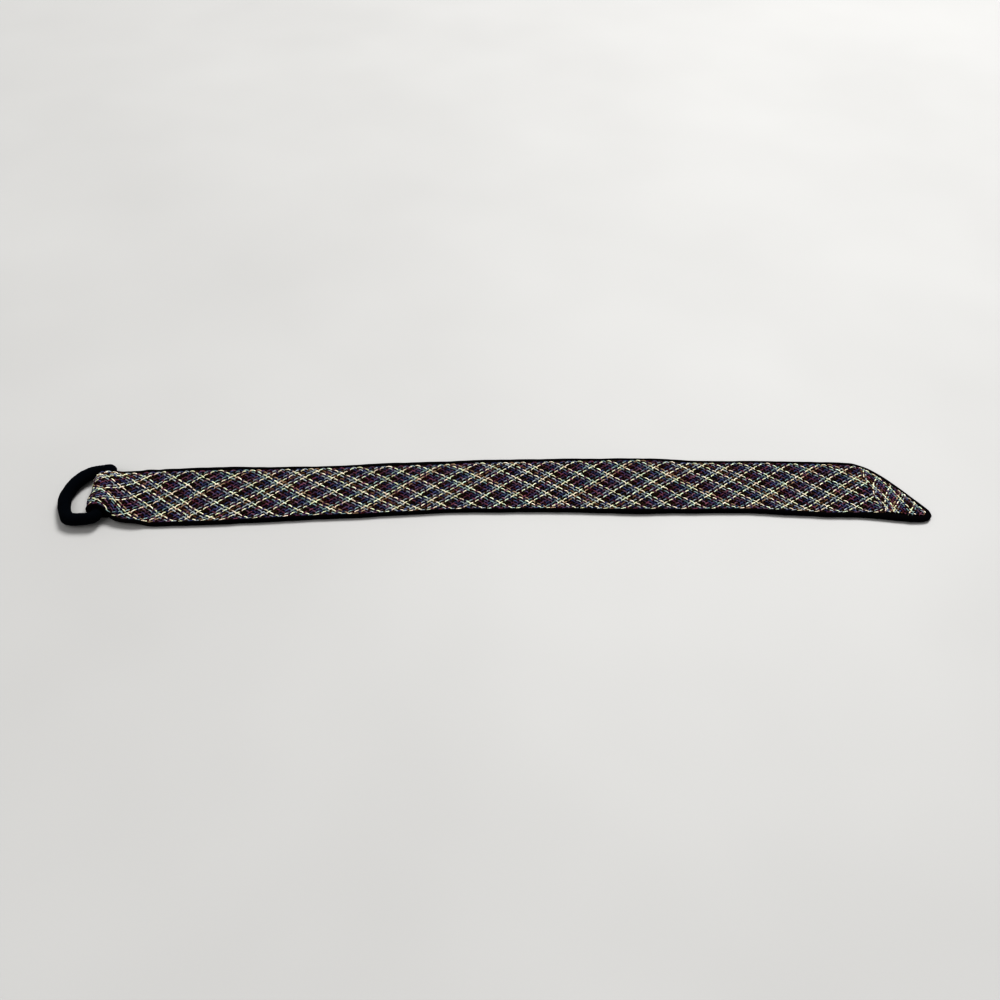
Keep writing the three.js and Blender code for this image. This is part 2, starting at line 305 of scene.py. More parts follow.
# Nap of the ring's cover: how many fibres, their reach, width, depth of the root, stray and lean
NAP_COUNT = 5000
NAP_REACH = (0.4, 1.0)
NAP_LENGTH = 1.1
NAP_WIDTH = 0.07
NAP_DEPTH = 0.2
NAP_STRAY = 0.8
NAP_LEAN = 0.7


def smooth(t):
    """From 0 to 1, with a level start and end."""
    k = np.clip(t, 0, 1)
    return k * k * (3 - 2 * k)


def smoother(t):
    """From 0 to 1, with a longer level start and end."""
    k = np.clip(t, 0, 1)
    return k * k * k * (k * (6 * k - 15) + 10)


def eased(value, start, run):
    """From 0 to 1 over a run that begins at the start given."""
    return smooth((value - start) / run)


def mix(a, b, share):
    return a + (b - a) * share


def unit(vectors):
    return vectors / np.maximum(np.linalg.norm(vectors, axis=-1, keepdims=True), 1e-9)


def lengths_of(points):
    """Length along a line of points, from the first to each."""
    return np.concatenate([[0], np.cumsum(np.linalg.norm(np.diff(points, axis=0), axis=1))])


def spline(points, at):
    """Points of a Catmull-Rom curve through the rows given, at fractional rows."""
    points = np.asarray(points, float)
    last = len(points) - 1
    at = np.clip(np.asarray(at, float), 0, last)
    i = np.minimum(at.astype(int), last - 1)
    k = (at - i)[:, None]
    p0, p1 = points[np.maximum(i - 1, 0)], points[i]
    p2, p3 = points[i + 1], points[np.minimum(i + 2, last)]
    a, b = (p2 - p0) / 2, (p3 - p1) / 2
    return (2 * p1 - 2 * p2 + a + b) * k ** 3 + (3 * p2 - 3 * p1 - 2 * a - b) * k ** 2 + a * k + p1


def rows_at(rows, place, column=1):
    """A value of a table at places given by its first column, smoothed between its rows."""
    fine = spline(rows, np.linspace(0, len(rows) - 1, 24 * len(rows)))
    return np.interp(place, fine[:, 0], fine[:, column])


def ripple(at, seed, longest, shortest, rows=5):
    """A smooth wandering value of about -1 to 1 along a length, the same for the same seed."""
    own = np.random.default_rng(seed)
    waves = np.geomspace(longest, shortest, rows)
    phases = own.uniform(0, 2 * math.pi, rows)
    total = sum(np.sin(2 * math.pi * at / w + p) for w, p in zip(waves, phases))
    return total / math.sqrt(rows)


# Camera

def make_camera():
    """A plain camera with a 53 degree view, at the belt's near side and looking down at it."""
    place = np.array([-40.34, -869.33, 898.05]) * MM
    pitch, yaw, roll = 0.80758, 0.048127, 0.034342
    forward = np.array([math.sin(yaw) * math.cos(pitch), math.cos(yaw) * math.cos(pitch), -math.sin(pitch)])
    right = np.array([math.cos(yaw), -math.sin(yaw), 0.0])
    up = np.cross(right, forward)
    turned_right = right * math.cos(roll) + up * math.sin(roll)
    turned_up = up * math.cos(roll) - right * math.sin(roll)
    camera = bpy.data.objects.new("camera", bpy.data.cameras.new("camera"))
    camera.data.sensor_width = 36
    camera.data.lens = 36
    camera.data.clip_start = 0.05
    camera.data.clip_end = 50
    columns = np.stack([turned_right, turned_up, -forward, place], 1)
    camera.matrix_world = Matrix([*columns.tolist(), (0, 0, 0, 1)])
    bpy.context.scene.collection.objects.link(camera)
    bpy.context.scene.camera = camera


# Meshes

def add_mesh(name, material, vertices, quads, triangles=(), uv=None):
    """A mesh object from arrays: vertices in millimetres, quads and triangles as rows of indices."""
    quads = np.asarray(quads, np.int32).reshape(-1, 4)
    triangles = np.asarray(triangles, np.int32).reshape(-1, 3)
    loops = np.concatenate([quads.ravel(), triangles.ravel()])
    sizes = np.concatenate([np.full(len(quads), 4), np.full(len(triangles), 3)])
    starts = np.concatenate([[0], np.cumsum(sizes)[:-1]])
    places = np.array(vertices, float)
    places[:, 2] = np.maximum(places[:, 2], FLOOR_ROOM)
    mesh = bpy.data.meshes.new(name)
    mesh.vertices.add(len(places))
    mesh.vertices.foreach_set("co", (places * MM).astype(np.float32).ravel())
    mesh.loops.add(len(loops))
    mesh.loops.foreach_set("vertex_index", loops)
    mesh.polygons.add(len(sizes))
    mesh.polygons.foreach_set("loop_start", starts.astype(np.int32))
    if uv is not None:
        layer = mesh.uv_layers.new(name="UVMap")
        layer.data.foreach_set("uv", np.asarray(uv, np.float32).ravel())
    mesh.update(calc_edges=True)
    mesh.validate()
    mesh.polygons.foreach_set("use_smooth", np.ones(len(mesh.polygons), bool))
    mesh.update()
    mesh.materials.append(material)
    piece = bpy.data.objects.new(name, mesh)
    bpy.context.scene.collection.objects.link(piece)
    return piece


def grid_quads(rows, columns):
    """Quads between rings of points, and their corners as (row, column)."""
    i, j = np.meshgrid(np.arange(rows - 1), np.arange(columns), indexing="ij")
    corners = np.array([(0, 0), (1, 0), (1, 1), (0, 1)])
    places = np.stack([i.ravel(), j.ravel()], 1)[:, None, :] + corners
    return places[..., 0] * columns + places[..., 1] % columns, places


def spikes(root, out, lean, reach, width, own):
    """Thin closed hairs with one bend: vertices, and three quads and four triangles for each hair."""
    side = unit(np.cross(out, own.normal(0, 1, out.shape))) * width / 2
    other = unit(np.cross(out, side)) * width / 2
    bend, tip = (root + out * reach * far + lean * reach * aside for far, aside in (HAIR_BEND, HAIR_TIP))

    def corners(middle, scale):
        """The three corners of a hair's section."""
        back = middle - side * scale / 2
        return [middle + side * scale, back + other * scale, back - other * scale]

    vertices = np.stack(corners(root, 1) + corners(bend, BEND_WIDTH) + [tip], 1).reshape(-1, 3)
    starts = np.arange(len(root))[:, None] * 7
    quads = [starts + np.array([[k, (k + 1) % 3, 3 + (k + 1) % 3, 3 + k]]) for k in range(3)]
    triangles = [starts + np.array([[3 + k, 3 + (k + 1) % 3, 6]]) for k in range(3)]
    triangles.append(starts + np.array([[0, 2, 1]]))
    return vertices, np.concatenate(quads), np.concatenate(triangles)


class Pile:
    """Collects closed tubes and hairs into one mesh."""

    def __init__(self):
        self.vertices, self.quads, self.triangles = [], [], []
        self.quad_uv, self.triangle_uv = [], []
        self.count = 0

    def add(self, vertices, quads, quad_uv, triangles, triangle_uv):
        """Adds a shape whose faces count from its own first vertex."""
        self.vertices.append(vertices)
        self.quads.append(quads + self.count)
        self.quad_uv.append(quad_uv)
        self.triangles.append(triangles + self.count)
        self.triangle_uv.append(triangle_uv)
        self.count += len(vertices)

    def tube(self, rings, along, around):
        """A capped tube from rings of points, with its length and girth in millimetres as texture."""
        n, m = rings.shape[:2]
        quads, places = grid_quads(n, m)
        uv = np.stack([along[places[..., 0]], around * places[..., 1] / m], -1).reshape(-1, 2)
        fan = np.array([(0, j + 1, j) for j in range(1, m - 1)])
        caps = np.concatenate([fan[:, ::-1], fan + (n - 1) * m])
        ends = np.repeat([along[0], along[-1]], 3 * len(fan))
        cap_uv = np.stack([ends, np.zeros_like(ends)], 1)
        self.add(rings.reshape(-1, 3), quads, uv, caps, cap_uv)

    def build(self, name, material):
        """One mesh of all that was collected."""
        shapes = [np.concatenate(part) for part in (self.vertices, self.quads, self.triangles)]
        return add_mesh(name, material, *shapes, np.concatenate(self.quad_uv + self.triangle_uv))


# The strap's path, from the hidden tail round the bar to the flat stretch

def upper_run(past):
    """Height of the fold's upper run: down over the bar, along the tail, then down to the floor."""
    over_bar = BAR_Z + TUBE_RADIUS + SEAM_GAP
    over_tail = FOLD_THICKNESS + SEAM_GAP
    slope = mix(over_bar, over_tail, smooth(past / SLOPE_END))
    landing = mix(over_tail, 0.0, eased(past, REST_ON_TAIL, LANDED - REST_ON_TAIL))
    return np.where(past < REST_ON_TAIL, slope, landing)


def fold_path():
    """Rows from the tail's end to the flat stretch: middle, out of the face, and make-up."""
    tail = np.arange(TAIL_LENGTH, 0, -FOLD_STEP)
    turn = np.linspace(0, math.pi, TURN_ROWS)
    past = np.arange(0, STRAP_LINE[0][0] - BAR_X, FOLD_STEP)[1:]

    def rows(on_tail, in_turn, on_run):
        """Values for the tail, the turn and the upper run, one after the other."""
        parts = ((on_tail, tail), (in_turn, turn), (on_run, past))
        return np.concatenate([np.broadcast_to(value, part.shape) for value, part in parts])

    reach = TUBE_RADIUS + SEAM_GAP
    slope = (upper_run(past + FOLD_STEP / 2) - upper_run(past - FOLD_STEP / 2)) / FOLD_STEP
    x = rows(BAR_X + tail, BAR_X - (reach + LOOP_SLACK) * np.sin(turn), BAR_X + past)
    z = rows(FOLD_THICKNESS, BAR_Z - reach * np.cos(turn), upper_run(past))
    up_x = rows(0, -np.sin(turn), -slope)
    up_z = rows(-1, -np.cos(turn), 1)
    under = rows(tail, 0, 0)
    over = rows(0, 0, past)
    turned = rows(0, turn / math.pi, 1)

    share = np.maximum(over - GATHER_END, 0) / (GATHER_OUT - GATHER_END)
    spread = (share + smooth(share)) / 2
    gathered = mix(GATHERED_HALF, TAIL_HALF, eased(under, GATHER_END, TAIL_LENGTH - GATHER_END))
    near_y = np.where(over > 0, rows_at(FOLD_NEAR, over), BAR_Y - gathered)
    far_y = np.where(over > 0, rows_at(FOLD_FAR, over), BAR_Y + gathered)
    half = (far_y - near_y) / 2
    near_margin, far_margin = (
        mix(FOLD_MARGIN, margin, smooth(over / run)) for margin, run in LANDED_MARGINS
    )
    fade = 1 - eased(over, GATHER_FADE, SLOPE_END - GATHER_FADE)
    raised = np.maximum(z - FOLD_THICKNESS - SEAM_GAP, 0)
    start, after = STRAP_LINE[:2]
    heading = math.atan2(after[1] - start[1], after[0] - start[0])
    swing = heading * eased(over, *HEADING_RUN) + LOOP_SWING * np.sin(turned * math.pi)
    return {
        "middle": np.stack([x, (near_y + far_y) / 2, z], 1),
        "up": unit(np.stack([up_x, np.zeros(len(x)), up_z], 1)),
        "across": np.stack([-np.sin(swing), np.cos(swing), np.zeros(len(x))], 1),
        "half": half,
        "thickness": mix(FOLD_THICKNESS, STRAP_THICKNESS, spread),
        "base": mix(FOLD_BASE, BASE_THICKNESS, spread),
        "lift": GATHER_LIFT * eased(turned, *GATHER_RISE) * fade,
        "sag": NEAR_SAG * raised * eased(over, *SAG_RUN),
        "near_margin": near_margin,
        "far_margin": far_margin,
        "shift": (near_margin - far_margin) / 2,
        "reach": half - (near_margin + far_margin) / 2,
    }


def flat_path():
    """Rows of the flat stretch, to past the mitre, in the same form."""
    line = STRAP_LINE + LINE_PAST_MITRE
    at = np.arange(0, len(line) - 1 + FLAT_STEP / 2, FLAT_STEP)
    middle = spline(line, at)
    along = unit(np.gradient(middle, axis=0))
    n = len(at)
    return {
        "middle": np.concatenate([middle, np.zeros((n, 1))], 1),
        "up": np.tile([0.0, 0.0, 1.0], (n, 1)),
        "across": np.stack([-along[:, 1], along[:, 0], np.zeros(n)], 1),
        "half": np.full(n, STRAP_HALF),
        "thickness": np.full(n, STRAP_THICKNESS),
        "lift": np.zeros(n),
        "sag": np.zeros(n),
        "shift": rows_at(BRAID_ROWS, middle[:, 0], 2),
        "reach": rows_at(BRAID_ROWS, middle[:, 0], 3),
    }


def strap_table():
    """The whole path, with a length along it that equals x on the flat stretch."""
    fold, flat = fold_path(), flat_path()
    table = {key: np.concatenate([fold[key], flat[key]]) for key in flat}
    level = fold["middle"] + fold["up"] * (fold["thickness"][:, None] * LENGTH_LEVEL)
    end = flat["middle"][0] + flat["up"][0] * STRAP_THICKNESS * LENGTH_LEVEL
    steps = np.linalg.norm(np.diff(np.vstack([level, end]), axis=0), axis=1)
    back = np.cumsum(steps[::-1])[::-1]
    table["along"] = np.concatenate([STRAP_LINE[0][0] - back, flat["middle"][:, 0]])
    return table


strap = strap_table()


def on_path(along, key):
    """A value or direction of the strap's path at lengths along it."""
    value = strap[key]
    if value.ndim == 1:
        return np.interp(along, strap["along"], value)
    return np.stack([np.interp(along, strap["along"], value[:, i]) for i in range(3)], -1)


def gather_wave(share):
    """Height of the gathers from 0 to 1, by the place from the near edge, 0, to the far edge, 1."""
    return 0.5 - 0.5 * np.cos(2 * math.pi * GATHER_COUNT * share)


def sagging(share):
    """How much of the sag a place has, by its share of the half-width, -1 at the near edge."""
    return np.clip((-share - SAG_START) / (1 - SAG_START), 0, SAG_MOST) ** 2


def place_on_strap(along, across, height):
    """Points over the strap's inner face, raised by the gathers of the fold."""
    share = across / on_path(along, "half")
    over = height + on_path(along, "lift") * gather_wave((np.clip(share, -1, 1) + 1) / 2)
    up = unit(on_path(along, "up"))
    side = unit(on_path(along, "across"))
    points = on_path(along, "middle") + side * across[:, None] + up * over[:, None]
    points[:, 2] -= on_path(along, "sag") * sagging(share)
    return points, up


# Yarns

def yarn_path(number, counts):
    """Share across the braid and height, both from -1 to 1, of one yarn at counts along the braid."""
    quarter = YARN_COUNT / 4
    phase = 2 * math.pi * (counts - number) / YARN_COUNT
    share = np.arcsin(TURN_SHARPNESS * np.sin(phase)) / math.asin(TURN_SHARPNESS)

    # It crosses a yarn of the other direction each half count, apart from where it turns at an edge
    first = math.floor((counts[0] - number - 0.25) * 2) - 2
    last = math.ceil((counts[-1] - number - 0.25) * 2) + 2
    knots = number + 0.25 + 0.5 * np.arange(first, last + 1)
    turned = (knots - number) % YARN_COUNT
    crossing = np.minimum(np.abs(turned - quarter), np.abs(turned - 3 * quarter)) > 0.1
    knots, turned = knots[crossing], turned[crossing]
    rising = (turned < quarter) | (turned > 3 * quarter)
    over = np.where(rising, 1, -1) * np.cos(2 * math.pi * (knots - 0.25))
    i = np.clip(np.searchsorted(knots, counts, side="right") - 1, 0, len(knots) - 2)
    t = (counts - knots[i]) / (knots[i + 1] - knots[i])
    return share, mix(over[i], over[i + 1], smoother(t))


def stray_hairs(pile, centre, axes, along, start, make, own):
    """A few hairs at random rows of one stretch of yarn, each with one place in the texture."""
    side, rise, forward = axes
    rows = len(along)
    at = own.integers(start + 1, start + rows - 1, own.poisson(make["hairs"] * rows))
    turn = own.uniform(HAIR_SIDES, math.pi - HAIR_SIDES, len(at))[:, None]
    sideways, upward = side[at] * np.cos(turn), rise[at] * np.sin(turn)
    out = sideways + upward
    root = centre[at] + sideways * make["wide"] * HAIR_ROOT + upward * make["high"] * HAIR_ROOT
    lean = forward[at] * own.choice([-1, 1], (len(at), 1)) + own.normal(0, HAIR_STRAY, (len(at), 3))
    reach = own.uniform(*HAIR_REACH, (len(at), 1))
    out = unit(out + HAIR_LEAN * lean)
    vertices, quads, triangles = spikes(root, out, unit(lean), reach, HAIR_WIDTH, own)
    uv = np.stack([along[at - start], turn[:, 0] * make["wide"]], 1)
    quad_uv, triangle_uv = (np.repeat(np.tile(uv, (n, 1)), 7 - n, axis=0) for n in (3, 4))
    pile.add(vertices, quads, quad_uv, triangles, triangle_uv)


def add_yarn(pile, centre, up, inside, make, seed):
    """Tubes along the stretches of a yarn that lie inside its panel, with their stray hairs."""
    forward = unit(np.gradient(centre, axis=0))
    side = unit(np.cross(up, forward))
    rise = unit(np.cross(forward, side))
    lengths = lengths_of(centre)
    swell = 1 + YARN_SWELL * ripple(lengths, seed, *SWELL_WAVES)
    own = np.random.default_rng(seed)
    ends = np.flatnonzero(np.diff(np.concatenate([[0], inside.astype(int), [0]])))
    for start, stop in zip(ends[::2], ends[1::2]):
        if stop - start < FEWEST_ROWS:
            continue
        here = slice(start, stop)
        girth = swell[here, None, None]
        a = make["wide"] * girth * side[here, None, :] * np.cos(SECTION)[None, :, None]
        b = make["high"] * girth * rise[here, None, :] * np.sin(SECTION)[None, :, None]
        along = lengths[here] + TEXTURE_STEP * seed
        pile.tube(centre[here, None, :] + a + b, along, 2 * math.pi * make["wide"])
        if make["hairs"]:
            stray_hairs(pile, centre, (side, rise, forward), along, start, make, own)


def yarn_pairs(order):
    """Each coloured yarn of a repeat and the black one that follows it: number, place and make."""
    for number, colour in enumerate(order):
        yield number, colour, number, PALE_YARN if colour in ("cream", "slate", "teal") else YARN
        yield number, "black", number + 0.5, GROUND_YARN


def counted_places():
    """Places along the strap with the braid's count at each, carried on past both ends of the table."""
    rows = np.array(BRAID_ROWS)[:, :2]
    first, last = strap["along"][[0, -1]]
    low = rows[0, 1] - (rows[0, 0] - first) / YARN_PITCH
    high = rows[-1, 1] + (last - rows[-1, 0]) / YARN_PITCH
    rows = np.vstack([[first, low], rows, [last, high]])
    counts = np.linspace(low, high, COUNTED_PLACES)
    return spline(rows, np.interp(counts, rows[:, 1], np.arange(len(rows))))


def main_braid():
    """Piles of yarn by colour for the strap's long braid, with the black yarns in two piles."""
    places = counted_places()
    low, high = places[[0, -1], 1]
    piles = {colour: Pile() for colour in dict.fromkeys(YARN_ORDER)}
    piles["black_a"], piles["black_b"] = Pile(), Pile()
    for number, colour, place, make in yarn_pairs(YARN_ORDER):
        ground = make is GROUND_YARN
        counts = np.arange(low + 1, high, GROUND_STEP if ground else YARN_STEP)
        share, over = yarn_path(place, counts)
        along = np.interp(counts, places[:, 1], places[:, 0])
        wander = YARN_WANDER * ripple(along, 100 + int(200 * place), *WANDER_WAVES)
        across = share * on_path(along, "reach") + on_path(along, "shift") + wander
        squeeze = on_path(along, "thickness") / STRAP_THICKNESS
        height = squeeze * (make["level"] + make["crimp"] * (over - CRIMP_BIAS))
        centre, up = place_on_strap(along, across, height)
        inside = centre[:, 0] < mitre_x(centre[:, 1]) + MITRE_OVERLAP
        pile = piles[("black_b", "black_a")[number % 2] if ground else colour]
        add_yarn(pile, centre, up, inside, make, 300 + number)
    return piles


def mitre_x(y):
    """Where the mitre crosses the strap, for places across it."""
    run = (y - MITRE_NEAR[1]) / (MITRE_FAR[1] - MITRE_NEAR[1])
    return mix(MITRE_NEAR[0], MITRE_FAR[0], run)


def inside_slant(points):
    """How far points lie inside the slanted far edge, and the way that leads in from it."""
    edge = spline(TIP_FAR, np.linspace(0, len(TIP_FAR) - 1, SLANT_POINTS))
    along = unit(np.gradient(edge, axis=0))
    gap = points[:, None, :] - edge[None, :, :]
    nearest = np.argmin((gap ** 2).sum(-1), 1)
    inward = np.stack([along[:, 1], -along[:, 0]], 1)[nearest]
    return (gap[np.arange(len(points)), nearest] * inward).sum(-1), inward


def cross(a, b):
    """Cross product of directions in the plane."""
    return a[..., 0] * b[..., 1] - a[..., 1] * b[..., 0]


def flap_braid():
    """Piles of yarn by colour for the flap at the point."""
    along_flap = np.array([math.cos(FLAP_ANGLE), math.sin(FLAP_ANGLE)])
    left = np.array([-along_flap[1], along_flap[0]])
    mitre = MITRE_FAR - MITRE_NEAR
    reach = FLAP_REACH / YARN_PITCH
    piles = {colour: Pile() for colour in FLAP_ORDER}
    piles["black"] = Pile()
    for number, colour, place, make in yarn_pairs(FLAP_ORDER):
        counts = np.arange(-reach, reach, YARN_STEP)
        share, over = yarn_path(place, counts - FLAP_START)
        start = FLAP_MIDDLE + np.outer(counts * YARN_PITCH, along_flap)
        to_mitre = cross(MITRE_NEAR - start, mitre) / cross(left, mitre)
        pull = eased(share, FLAP_PULL_START, 1 - FLAP_PULL_START)
        wander = YARN_WANDER * ripple(counts * YARN_PITCH, 500 + int(200 * place), *FLAP_WAVES)
        stretch = FLAP_STRETCH * eased(-share, *STRETCH_RUN)
        across = share * FLAP_HALF - stretch + (to_mitre - MITRE_ROOM - FLAP_HALF) * pull + wander
        flat = start + np.outer(across, left)
        room, inward = inside_slant(flat)
        held = FLAP_INSET + FLAP_BEND * np.log1p(np.exp((room - FLAP_INSET) / FLAP_BEND))
        flat = flat + inward * (held - room)[:, None]
        height = make["level"] + FLAP_RISE + make["crimp"] * (over - CRIMP_BIAS)
        centre = np.concatenate([flat, height[:, None]], 1)
        up = np.tile([0.0, 0.0, 1.0], (len(counts), 1))
        past_mitre = centre[:, 0] > mitre_x(centre[:, 1]) - MITRE_OVERLAP
        in_edge = room > (-CREAM_PAST_EDGE if colour == "cream" else 0)
        clear_of_hem = centre[:, 1] > rows_at(HEM_LINE, centre[:, 0]) + HEM_ROOM
        inside = in_edge & clear_of_hem & past_mitre
        add_yarn(piles[colour], centre, up, inside, make, 700 + number)
    return piles


# The black strap under the braid

def fold_rows():
    """The backing's rows of the fold, every second one of its path."""
    rows = {key: value[::2] for key, value in fold_path().items()}
    reach = rows["across"] * rows["half"][:, None]
    rows["near"], rows["far"] = rows["middle"] - reach, rows["middle"] + reach
    rows["near_in"], rows["far_in"] = rows["across"], -rows["across"]
    return rows


def flat_edge(line, at, side, sway_column):
    """Points of an edge, the direction that leads in from it, and its sway. Side is 1 near and -1 far."""
    points = spline(line, at)
    along = unit(np.gradient(points, axis=0))
    level = np.zeros(len(at))
    inward = np.stack([-side * along[:, 1], side * along[:, 0], level], 1)
    sway = rows_at(EDGE_SWAY, points[:, 0], sway_column)
    return np.column_stack([points, level]) - inward * sway[:, None], inward, sway


def flat_rows():
    """The backing's rows of the flat stretch and the slanted point."""
    middle = np.array(STRAP_LINE)
    fine = spline(STRAP_LINE, np.arange(0, len(STRAP_LINE) - 0.9, 0.1))
    along = unit(np.gradient(fine, axis=0))[::10]
    across = np.stack([-along[:, 1], along[:, 0]], 1) * STRAP_HALF
    near_line = np.vstack([middle - across, TIP_NEAR])
    far_line = np.vstack([middle + across, TIP_FAR])
    point_start = len(STRAP_LINE)
    last = len(near_line) - 1
    end_start = last - 3
    at = np.concatenate([
        np.arange(0, point_start, STRAP_ROW_STEP), np.arange(point_start, end_start, POINT_ROW_STEP),
        np.linspace(end_start, last, END_ROWS),
    ])
    near, near_in, near_sway = flat_edge(near_line, at, 1, 1)
    far, far_in, far_sway = flat_edge(far_line, at, -1, 2)
    x = spline(near_line, at)[:, 0]
    shift, reach = rows_at(BRAID_ROWS, x, 2), rows_at(BRAID_ROWS, x, 3)
    at_hem = eased(x, HEM_START, HEM_RUN)
    hem = rows_at(HEM_LINE, x) - near[:, 1]
    return {
        "near": near, "far": far, "near_in": near_in, "far_in": far_in,
        "up": np.tile([0.0, 0.0, 1.0], (len(at), 1)),
        "thickness": np.full(len(at), STRAP_THICKNESS),
        "base": np.full(len(at), BASE_THICKNESS),
        "lift": np.zeros(len(at)),
        "sag": np.zeros(len(at)),
        "near_margin": mix(STRAP_HALF + near_sway - reach + shift, hem, at_hem),
        "far_margin": mix(STRAP_HALF + far_sway - reach - shift, FAR_HEM, at_hem),
    }


def backing_rows():
    """All rows of the backing with its rounded end, and what shapes the section of each."""
    fold, flat = fold_rows(), flat_rows()
    rows = {key: np.concatenate([fold[key], flat[key]]) for key in flat}
    middle = (rows["near"] + rows["far"]) / 2
    length = lengths_of(middle)
    to_end = np.clip(1 - (length[-1] - length) / END_ROUND, 0, END_SHARPEST)
    rounding = np.sqrt(1 - to_end ** 2)
    for side in ("near", "far"):
        rows[side] = mix(middle, rows[side], rounding[:, None])
    room = np.linalg.norm(rows["far"] - rows["near"], axis=1) / 2
    for side in ("near", "far"):
        squeeze = np.clip(rows[side + "_margin"] / ROLL_WIDTH, *ROLL_SQUEEZE)
        rows[side + "_squeeze"] = np.minimum(squeeze, WIDEST_ROLL * room / ROLL_WIDTH)
    rows["middle"], rows["length"], rows["room"] = middle, length, room
    rows["closing"] = smooth((CLOSING_HALF - room) / CLOSING_RUN)
    rows["half_height"] = rows["thickness"] / 2 * mix(END_THINNING, 1, rounding)
    rows["mid_height"] = mix(END_MIDDLE, rows["thickness"] / 2, rounding)
    rows["top"] = rows["mid_height"] + rows["half_height"]
    return rows


def rolled_edge(rows, side, seed):
    """Points round one rolled edge, from under it, over the outside, to its foot in the channel."""
    puff = 1 + EDGE_PUFF * ripple(rows["length"], seed, *PUFF_WAVES)
    wobble = EDGE_WOBBLE * ripple(rows["length"], seed + 1, *WOBBLE_WAVES) * (1 - rows["closing"])
    for turn in ROLL_TURNS:
        reach = ROLL_OUT if math.cos(turn) < 0 else ROLL_IN
        inset = (ROLL_INSET + reach * math.cos(turn) * puff) * rows[side + "_squeeze"]
        level = rows["mid_height"] + rows["half_height"] * math.sin(turn) * np.minimum(puff, HIGHEST_PUFF)
        past_top = math.cos(turn) > 0 and math.sin(turn) < 0.99
        if past_top:
            level = mix(level, rows["top"], rows["closing"])
        point = rows[side] + rows[side + "_in"] * (inset + wobble)[:, None]
        yield point + rows["up"] * level[:, None]


def channel_run(rows, inset, level, shares):
    """Points across the channel or the underside, raised by the gathers."""
    near, far = (
        rows[side] + rows[side + "_in"] * (inset * rows[side + "_squeeze"])[:, None]
        for side in ("near", "far")
    )
    for share in shares:
        yield mix(near, far, share) + rows["up"] * (level + rows["lift"] * gather_wave(share))[:, None]


def backing_piece(material):
    """The black strap as one closed skin, from the tail's end to the point."""
    rows = backing_rows()
    under = rows["mid_height"] - rows["half_height"]
    rings = np.stack([
        *rolled_edge(rows, "near", 11),
        *channel_run(rows, ROLL_FOOT, mix(rows["base"], rows["top"], rows["closing"]), CHANNEL_SHARES),
        *list(rolled_edge(rows, "far", 21))[::-1],
        *channel_run(rows, ROLL_INSET, under, CHANNEL_SHARES[::-1]),
    ], 1)
    across = unit(rows["far"] - rows["near"])
    share = ((rings - rows["middle"][:, None, :]) * across[:, None, :]).sum(-1) / rows["room"][:, None]
    rings[..., 2] = np.maximum(rings[..., 2] - rows["sag"][:, None] * sagging(share), FLOOR_ROOM)

    n, m = rings.shape[:2]
    section = np.vstack([rings[n // 2], rings[n // 2, :1]])
    around = lengths_of(section)
    quads, places = grid_quads(n, m)
    uv = np.stack([rows["length"][places[..., 0]], around[places[..., 1]]], -1).reshape(-1, 2)
    fan = np.array([(0, j + 1, j) for j in range(1, m - 1)])
    caps = np.concatenate([fan[::-1], fan[:, [0, 2, 1]] + (n - 1) * m])
    uv = np.concatenate([uv, np.zeros((len(caps) * 3, 2))])
    return add_mesh("strap_backing", material, rings.reshape(-1, 3), quads, caps, uv)


# The D ring

def ring_line():
    """Middle line of the ring in its own plane: bar, corner, curved side, corner."""
    bar = [(0, y) for y in np.linspace(-BAR_HALF, BAR_HALF, BAR_POINTS, endpoint=False)]
    turns = np.linspace(0, math.pi / 2, CORNER_POINTS, endpoint=False)
    far = [(CORNER_RADIUS * (1 - math.cos(t)), BAR_HALF + CORNER_RADIUS * math.sin(t)) for t in turns]
    side = spline(RING_CURVE, np.linspace(0, len(RING_CURVE) - 1, SIDE_POINTS))
    near = [(CORNER_RADIUS * (1 - math.sin(t)), -BAR_HALF - CORNER_RADIUS * math.cos(t)) for t in turns[1:]]
    return np.vstack([bar, far, side, near])


def ring_to_world(points):
    """From the ring's own plane to the belt's frame."""
    turn = math.pi - RING_TILT
    x = points[..., 0] * math.cos(turn) + points[..., 2] * math.sin(turn)
    z = points[..., 2] * math.cos(turn) - points[..., 0] * math.sin(turn)
    return np.stack([BAR_X + x, BAR_Y + points[..., 1], BAR_Z + z], -1)


